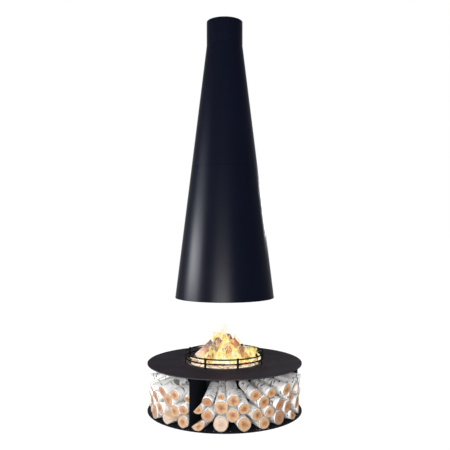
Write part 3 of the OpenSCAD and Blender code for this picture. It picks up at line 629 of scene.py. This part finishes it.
ember_finish = finish("embers", embers, 0.004, Emission_Strength=0.72, Specular_IOR_Level=0.1)
bed_low, bed_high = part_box("ember_bed")
bed_r = bed_high.x
bed_sides = 96
bed_rings = 19
ring_width = 0.0165
slump_r = 0.27
bm = bmesh.new()
bmesh.ops.create_cone(
    bm, cap_ends=True, segments=bed_sides, radius1=bed_r - 0.022, radius2=bed_r - 0.020,
    depth=bed_high.z - bed_low.z,
)
walls = [e for e in bm.edges if abs(e.verts[0].co.z - e.verts[1].co.z) > 0.01]
bmesh.ops.subdivide_edges(bm, edges=walls, cuts=4)
caps = sorted((f for f in bm.faces if len(f.verts) == bed_sides), key=lambda f: f.calc_center_median().z)
for ring in range(bed_rings):
    bmesh.ops.inset_individual(bm, faces=[caps[1]], thickness=ring_width)
bmesh.ops.poke(bm, faces=caps)
bmesh.ops.translate(bm, verts=bm.verts, vec=(0, 0, (bed_low.z + bed_high.z) / 2))
for v in bm.verts:
    r = v.co.to_2d().length
    t = (v.co.z - bed_low.z) / (bed_high.z - bed_low.z)
    lump = noise.noise(v.co * 22) * 0.6 + noise.noise(v.co * 51) * 0.4
    if t > 0.999:
        v.co.z += -0.007 + 0.007 * lump - 0.010 * max(0, (r - slump_r) / 0.06) ** 2
    elif t > 0.05 and r > 0.1:
        swell = 1 + (0.012 + 0.006 * lump) / r * math.sin(math.pi * min(1, t * 1.15))
        v.co.x *= swell
        v.co.y *= swell
for f in bm.faces:
    f.smooth = True
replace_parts(piece("ember_heap", bm, "grate_and_fire", "embers", ember_finish), "ember_bed")

coal_count = 150
coals_r = 0.325
bm = bmesh.new()
luck = random.Random(7)
for i in range(coal_count):
    reach = coals_r * math.sqrt(luck.uniform(0.02, 1))
    azimuth = luck.uniform(0, 2 * math.pi)
    size = luck.uniform(0.007, 0.017)
    made = bmesh.ops.create_icosphere(bm, subdivisions=2, radius=size)["verts"]
    squash = Vector((luck.uniform(0.8, 1.5), luck.uniform(0.7, 1.1), luck.uniform(0.6, 0.9)))
    turn = Matrix.Rotation(luck.uniform(0, 3.1), 3, "Z") @ Matrix.Rotation(luck.uniform(-0.4, 0.4), 3, "X")
    for v in made:
        cell = noise.cell_vector(v.co * 0.9 / size + Vector((i, 0, 0)))
        v.co = turn @ Vector(v.co * squash * (0.86 + 0.14 * cell.x))
    bmesh.ops.translate(bm, verts=made, vec=around(azimuth, reach, bed_high.z - 0.006 + size * 0.25))
piece("loose_coals", bm, "grate_and_fire", "embers", ember_finish)


# ---- Burning logs, sticks and splints ----
# Split and round logs lean on each other round an upright one, with sticks at their feet
# and splints along the bed's rim. The split at the left is fresh, the rest is charred,
# with white ash on it, and the wood glows where the fire eats it.
def burning(w):
    wood = w.node("UVMap", uv_map="wood")
    place = w.node("TexCoord", output="Object")
    z = place.parts()[2]
    burn = w.node("Attribute", attribute_name="burn", output="Fac")
    fibres = wood.stretched(150, 9, 1).noise(1.0, 4.0, 0.6)
    patch = place.noise(15.0, 4.0, 0.6)
    blocks = wood.node("TexVoronoi", {"Vector": wood, "Scale": 62.0}, feature="DISTANCE_TO_EDGE")
    near = 1 - z.ramp(0.49, 0.60)
    char = (burn + (patch - 0.5) * 0.9 * burn.ramp(0.0, 0.3)).clamped()
    colour = char.ramp_colour(
        (0.0, (0.90, 0.66, 0.46)), (0.3, (0.60, 0.32, 0.17)), (0.55, (0.27, 0.12, 0.065)),
        (0.8, (0.15, 0.075, 0.07)), (1.0, (0.07, 0.04, 0.045)),
    )
    colour = colour.under(fibres.ramp(0.5, 0.72) * 0.45, (0.22, 0.10, 0.07))
    ash = (place.noise(44.0, 4.0, 0.7) + burn * 0.10).ramp(0.62, 0.72) * burn.ramp(0.3, 0.7)
    heat = (1 - blocks.ramp(0.0, 0.08)) * char * 0.45 + near * patch.ramp(0.36, 0.60) * burn.ramp(0.0, 0.4)
    glow = heat.clamped().ramp_colour(
        (0.0, (0, 0, 0)), (0.4, (0.20, 0.06, 0.012)), (0.75, (0.85, 0.42, 0.10)), (1.0, (1.0, 0.80, 0.36)),
    )
    return {
        "Base Color": colour.under(ash * 0.8, (0.80, 0.74, 0.74)),
        "Roughness": ash * 0.1 + 0.75,
        "Emission Color": glow,
        "Height": fibres + blocks.ramp(0.0, 0.06) * char * 1.5,
    }


burning_wood = finish("burning_wood", burning, 0.002, Emission_Strength=0.8, Specular_IOR_Level=0.15)
three_sides = [burning_wood] * 3  # bark, ends and split faces alike


def charring(foot):
    """How far a log is burnt at its foot and at its head, by where its foot stands."""
    azimuth = math.degrees(math.atan2(foot.x, -foot.y))
    if foot.to_2d().length < 0.1:
        return 0.9, 0.6
    if -110 < azimuth < -60:
        return -0.3, 1.2
    return (0.6, 0.95) if azimuth < -20 else (0.5, 0.6)


for name, node, lumps in (("burning_logs", "fire_logs", 0.07), ("burning_sticks", "kindling", 0.10)):
    bm = bmesh.new()
    for number, ends in enumerate(logs_of(node, foot_first=True)):
        add_log(bm, ends, 300 + number + len(node), lumps=lumps, slant=0.25, burn=charring(ends[0][0]))
    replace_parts(piece(name, bm, "grate_and_fire", "burning_wood", *three_sides), node)

splint_count = 34
bm = bmesh.new()
luck = random.Random(23)
for i in range(splint_count):
    reach = luck.uniform(0.298, 0.334)
    azimuth = 2 * math.pi * (i + luck.uniform(-0.3, 0.3)) / splint_count
    r, half = luck.uniform(0.0035, 0.0075), luck.uniform(0.028, 0.055)
    middle = around(azimuth, reach, bed_high.z - 0.003 + r)
    across = azimuth + luck.gauss(0, 0.35)
    way = Vector((half * math.cos(across), half * math.sin(across), luck.uniform(0, 0.006)))
    facing = Vector((luck.uniform(-0.4, 0.4), luck.uniform(-0.9, 0.1), 0.8)).cross(way).cross(way)
    ends = [(middle - way, r, -facing.normalized()), (middle + way, 0.85 * r, None)]
    add_log(bm, ends, 500 + i, slant=0.5, burn=(luck.choice((0, 0, 0.3)), luck.choice((0, 0.1, 0.7))))
piece("splints", bm, "grate_and_fire", "burning_wood", *three_sides)


# ---- Flames ----
# Light and gas, with no solid in the CAD: thin closed tongues that lick up between the
# logs, pale yellow where they are hottest and orange at the torn edges.
def flame(w):
    place = w.node("TexCoord", output="Object")
    faint, v, _ = w.node("UVMap", uv_map="flame").parts()
    rush = place.stretched(17, 17, 7).noise(1.0, 3.0, 0.55)
    threads = place.stretched(46, 46, 13, (1, 4, 0)).noise(1.0, 2.0, 0.5)
    holes = place.stretched(30, 30, 13, (3, 1, 0)).noise(1.0, 2.0, 0.5)
    heat = (0.86 - v * 0.40 + (rush - 0.5) * 1.7 + (threads - 0.5) * 2.8).clamped()
    colour = heat.ramp_colour(
        (0.0, (0.46, 0.17, 0.04)), (0.2, (0.88, 0.44, 0.08)), (0.38, (1.0, 0.72, 0.13)),
        (0.7, (1.0, 0.86, 0.26)), (1.0, (1.0, 0.97, 0.72)),
    )
    body = (1.5 + faint * 0.5 - v * 1.5 + (rush - 0.5) * 2.8).clamped()
    alpha = body * (1 - holes.ramp(0.53, 0.63) * 0.9) * (0.92 - faint * 0.81)
    colour = colour.under(faint * 0.8, (1.0, 0.66, 0.40))
    return {"Base Color": (0.0, 0.0, 0.0), "Emission Color": colour, "Alpha": alpha}


flame_finish = finish("flame", flame, Emission_Strength=1.06, Roughness=1.0, Specular_IOR_Level=0.0)


def add_tongue(blaze, spot, tall, wide, sway, faint, seed):
    """Adds a closed tongue of flame with its foot at a spot to a bmesh. Its UV map holds
    how faint it is, and the share of its height."""
    bm = bmesh.new()
    uv = bm.loops.layers.uv.new("flame")
    bmesh.ops.create_cone(bm, cap_ends=True, segments=20, radius1=1, radius2=0.12, depth=1)
    rising = [e for e in bm.edges if abs(e.verts[0].co.z - e.verts[1].co.z) > 0.5]
    bmesh.ops.subdivide_edges(bm, edges=rising, cuts=15)
    for f in bm.faces:
        f.smooth = True
        for loop in f.loops:
            loop[uv].uv = (faint, loop.vert.co.z + 0.5)
    for v in bm.verts:
        t = v.co.z + 0.5
        ripple = 1 + 0.35 * noise.noise(Vector((v.co.x * 1.5, v.co.y * 1.5, t * 5 + seed)))
        girth = (wide / 2 * (0.55 + 1.6 * t) * (1 - t) ** 0.75 + 0.002) * ripple
        p = Vector((v.co.x, v.co.y, 0)).normalized() * girth
        p.y *= 0.5
        drift = noise.noise_vector(Vector((seed, 0, t * 2.6))) * (0.11 * t * t)
        turn = Matrix.Rotation(0.8 * t + 0.6 * math.sin(seed), 3, "Z")
        v.co = spot + turn @ p + Vector((drift.x + sway * t, drift.y, t * tall))
    bmesh.ops.recalc_face_normals(bm, faces=bm.faces)
    move_into(blaze, bm)


tongues = [
    # first and last azimuth, how many, radius and height of the foot, height, width,
    # sway to the right, and how faint
    (-44, 70, 9, 0.255, 0.474, 0.125, 0.100, 0.01, 0),
    (-30, 62, 7, 0.190, 0.480, 0.190, 0.105, 0.00, 0),
    (-40, 60, 5, 0.110, 0.540, 0.200, 0.100, 0.00, 0),
    (-60, 40, 3, 0.060, 0.600, 0.170, 0.120, -0.02, 0),
    (-100, -60, 3, 0.075, 0.630, 0.130, 0.120, -0.01, 0),
    (62, 98, 3, 0.240, 0.474, 0.150, 0.110, 0.00, 0),
    (72, 112, 4, 0.295, 0.474, 0.090, 0.085, 0.00, 0),
    (82, 90, 1, 0.315, 0.474, 0.120, 0.046, 0.00, 0),
    (130, 250, 5, 0.200, 0.480, 0.170, 0.100, 0.00, 0),
    (0, 30, 2, 0.030, 0.690, 0.180, 0.085, -0.02, 1),
]
drift_seed = 1795533435
blaze = bmesh.new()
luck = random.Random(11)
noise.seed_set(drift_seed)  # or noise_vector would take its seed from the clock
for first, last, count, reach, foot, height, width, sway, faint in tongues:
    for number in range(count):
        azimuth = math.radians(first + (last - first) * number / max(1, count - 1))
        spot = around(azimuth, reach * luck.uniform(0.85, 1.1), foot)
        tall, wide = height * luck.uniform(0.7, 1.15), width * luck.uniform(0.75, 1.2)
        add_tongue(blaze, spot, tall, wide, sway, faint, luck.uniform(0, 99))
piece("flames", blaze, "grate_and_fire", "embers", flame_finish)
fire_glow = bpy.data.objects.new("fire_glow", bpy.data.lights.new("fire_glow", "POINT"))
fire_glow.location = (0.02, -0.12, 0.72)
fire_glow.data.energy = 4
fire_glow.data.color = (1, 0.62, 0.28)
fire_glow.data.shadow_soft_size = 0.12
bpy.context.scene.collection.objects.link(fire_glow)


# ---- Guard ring ----
# Two flat-bar hoops inside eight posts, painted black. The ring stands loose on the
# plate round the bowl, and dome-headed rivets hold each hoop to each post.
guard_paint = finish(
    "guard_paint", powder_coat((0.004, 0.0045, 0.006), (0.05, 0.048, 0.046), 0.36), 0.00012,
    Specular_IOR_Level=0.005,
)
dress(guard_paint, "guard_upper_rail", "guard_lower_rail", "guard_posts")
post_count = 8
first_post = 18
post_t = 0.006
rivet_r = 0.0045
rivet_rise = 0.55
post_face_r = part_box("guard_upper_rail")[1].x + post_t
rail_heights = [sum(c.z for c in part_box(n)) / 2 for n in ("guard_upper_rail", "guard_lower_rail")]
bm = bmesh.new()
for post in range(post_count):
    azimuth = first_post + 360 / post_count * post
    for rail_z in rail_heights:
        made = bmesh.ops.create_uvsphere(bm, u_segments=12, v_segments=8, radius=rivet_r)["verts"]
        bmesh.ops.scale(bm, verts=made, vec=(rivet_rise, 1, 1))
        bmesh.ops.translate(bm, verts=made, vec=(post_face_r, 0, rail_z))
        turn = Matrix.Rotation(math.radians(azimuth - 90), 3, "Z")
        bmesh.ops.rotate(bm, verts=made, cent=(0, 0, 0), matrix=turn)
for f in bm.faces:
    f.smooth = True
piece("guard_rivets", bm, "guard_ring", "guard_paint", guard_paint)


# ---- Hood ----
# Two cones rolled from 3 mm sheet and bolted through turned-in flanges, with a flat bar
# inside the rim and a collar above. Blue-black satin powder coat inside and out.
def hood_surface(w):
    place = w.node("TexCoord", output="Object")
    cloud = place.noise(1.7, 3.0)
    streak = place.stretched(9, 9, 0.8).noise(1.0, 3.0)
    dust = place.noise(30.0, 5.0, 0.7).ramp(0.55, 0.8)
    mottle = cloud * 0.3 + dust * 0.12 + streak * 0.15
    return {
        "Base Color": mottle.tint((0.0027, 0.0034, 0.0090), (0.0056, 0.0074, 0.0180)),
        "Roughness": cloud * 0.06 + streak * 0.05 + dust * 0.04 + 0.27,
        "Height": place.noise(380.0, 2.0) + cloud * 14.0,
    }


hood_paint = finish("hood_paint", hood_surface, 0.0001, IOR=1.06)
dress(hood_paint, "hood_lower_cone", "hood_rim_bar", "hood_upper_cone", "collar")


# ---- Flue socket and damper ----
# A tube of bare steel for the chimney pipe, with the damper's housing below it: a disc
# on a spindle in bronze bushes, a crank and the rod with a ring by which it is pulled.
def bare_surface(w):
    place = w.node("TexCoord", output="Object")
    brushed = place.stretched(6, 6, 240).noise(1.0, 3.0, 0.6)
    bloom = place.noise(12.0, 4.0)
    return {
        "Base Color": bloom.ramp(0.3, 0.7).tint((0.42, 0.43, 0.44), (0.60, 0.60, 0.60)),
        "Roughness": brushed * 0.2 + 0.26,
        "Height": brushed,
    }


dress(
    finish("bare_steel", bare_surface, 0.0001, Metallic=1.0),
    "flue_socket", "damper_housing", "damper_spindle", "damper_plate", "damper_crank", "pull_rod",
)


def bronze_surface(w):
    place = w.node("TexCoord", output="Object")
    bloom = place.noise(80.0, 3.0)
    return {
        "Base Color": bloom.tint((0.45, 0.27, 0.10), (0.62, 0.42, 0.18)),
        "Roughness": bloom * 0.2 + 0.28,
        "Height": place.noise(500.0),
    }


dress(finish("bronze", bronze_surface, 0.0001, Metallic=1.0), "spindle_bushes")
